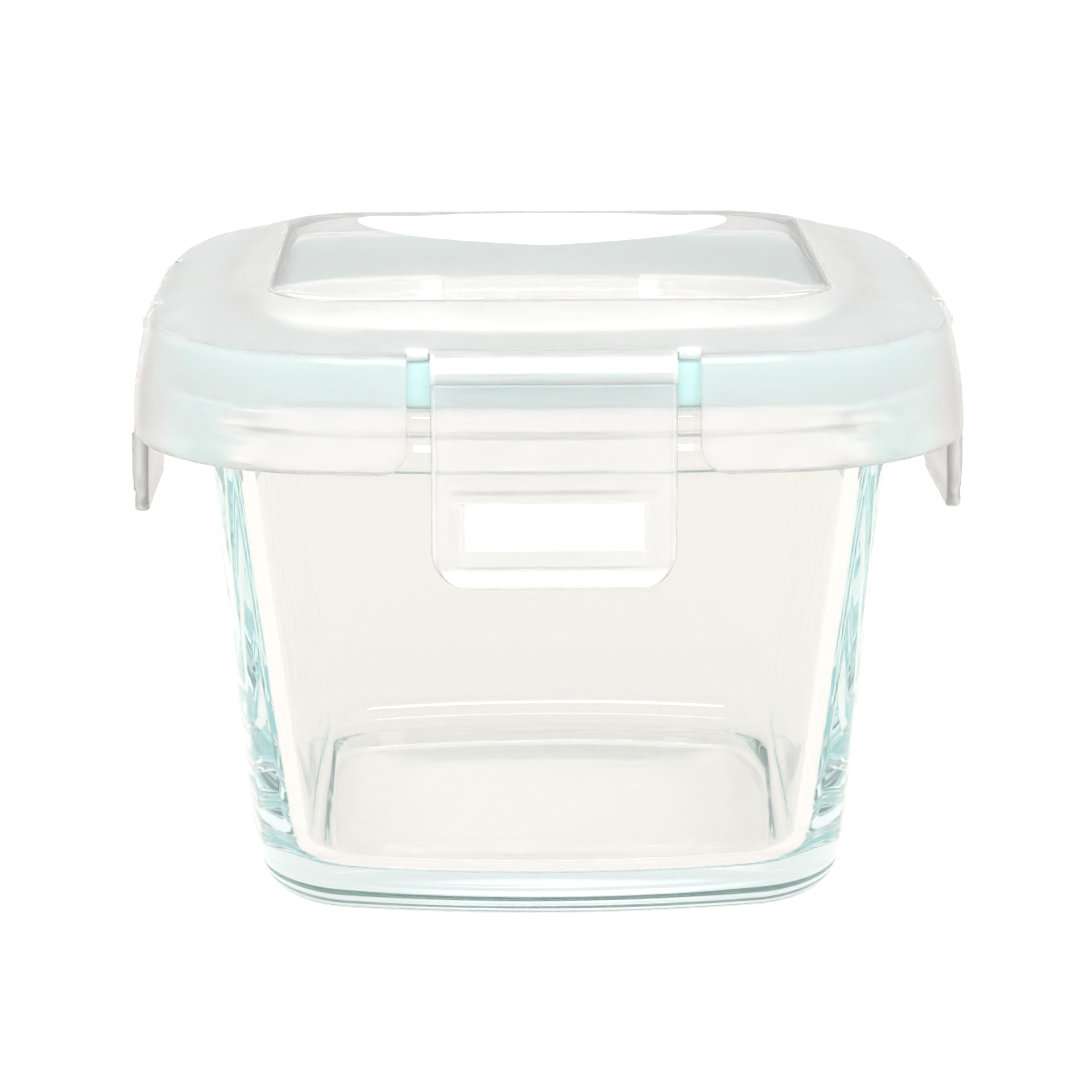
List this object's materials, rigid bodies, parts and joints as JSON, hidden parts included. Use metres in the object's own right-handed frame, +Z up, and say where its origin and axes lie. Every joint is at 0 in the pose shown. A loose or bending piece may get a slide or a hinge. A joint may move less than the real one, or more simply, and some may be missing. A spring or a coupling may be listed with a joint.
{
  "type": "glass storage container",
  "caption": "Small square tapered glass food container with a translucent snap-lock lid, a soft sealing ring and a hinged locking flap on each side.",
  "frame": {"origin": "centre of the underside, on the plane that the foot ring stands on", "axes": "+Z up through the middle of the lid, the front flap faces -Y, the right flap faces +X"},
  "size_m": [0.0966, 0.0966, 0.071],
  "materials": {
    "glass": "clear, polished, thick pressed glass with a faint green-blue tint in its thick edges",
    "lid": "translucent milky polypropylene, satin, clearer on the raised centre",
    "seal": "translucent pale aqua silicone, smooth"
  },
  "bodies": {
    "container": {"glass_container": "glass"},
    "lid": {"lid_shell": "lid", "sealing_ring": "seal", "hinge_right": "lid", "hinge_back": "lid", "hinge_left": "lid", "hinge_front": "lid"},
    "flap_right": {"flap_right": "lid"},
    "flap_back": {"flap_back": "lid"},
    "flap_left": {"flap_left": "lid"},
    "flap_front": {"flap_front": "lid"}
  },
  "joints": [
    {"name": "lid_lift", "type": "slide", "parent": "container", "child": "lid", "axis": [0, 0, 1], "range_m": [0, 0.04]},
    {"name": "flap_right_hinge", "type": "hinge", "parent": "lid", "child": "flap_right", "pos_m": [0.045, 0, 0.0662], "axis": [0, -1, 0], "range_deg": [0, 150], "deforming": ["hinge_right"]},
    {"name": "flap_back_hinge", "type": "hinge", "parent": "lid", "child": "flap_back", "pos_m": [0, 0.045, 0.0662], "axis": [1, 0, 0], "range_deg": [0, 150], "deforming": ["hinge_back"]},
    {"name": "flap_left_hinge", "type": "hinge", "parent": "lid", "child": "flap_left", "pos_m": [-0.045, 0, 0.0662], "axis": [0, 1, 0], "range_deg": [0, 150], "deforming": ["hinge_left"]},
    {"name": "flap_front_hinge", "type": "hinge", "parent": "lid", "child": "flap_front", "pos_m": [0, -0.045, 0.0662], "axis": [-1, 0, 0], "range_deg": [0, 150], "deforming": ["hinge_front"]}
  ]
}
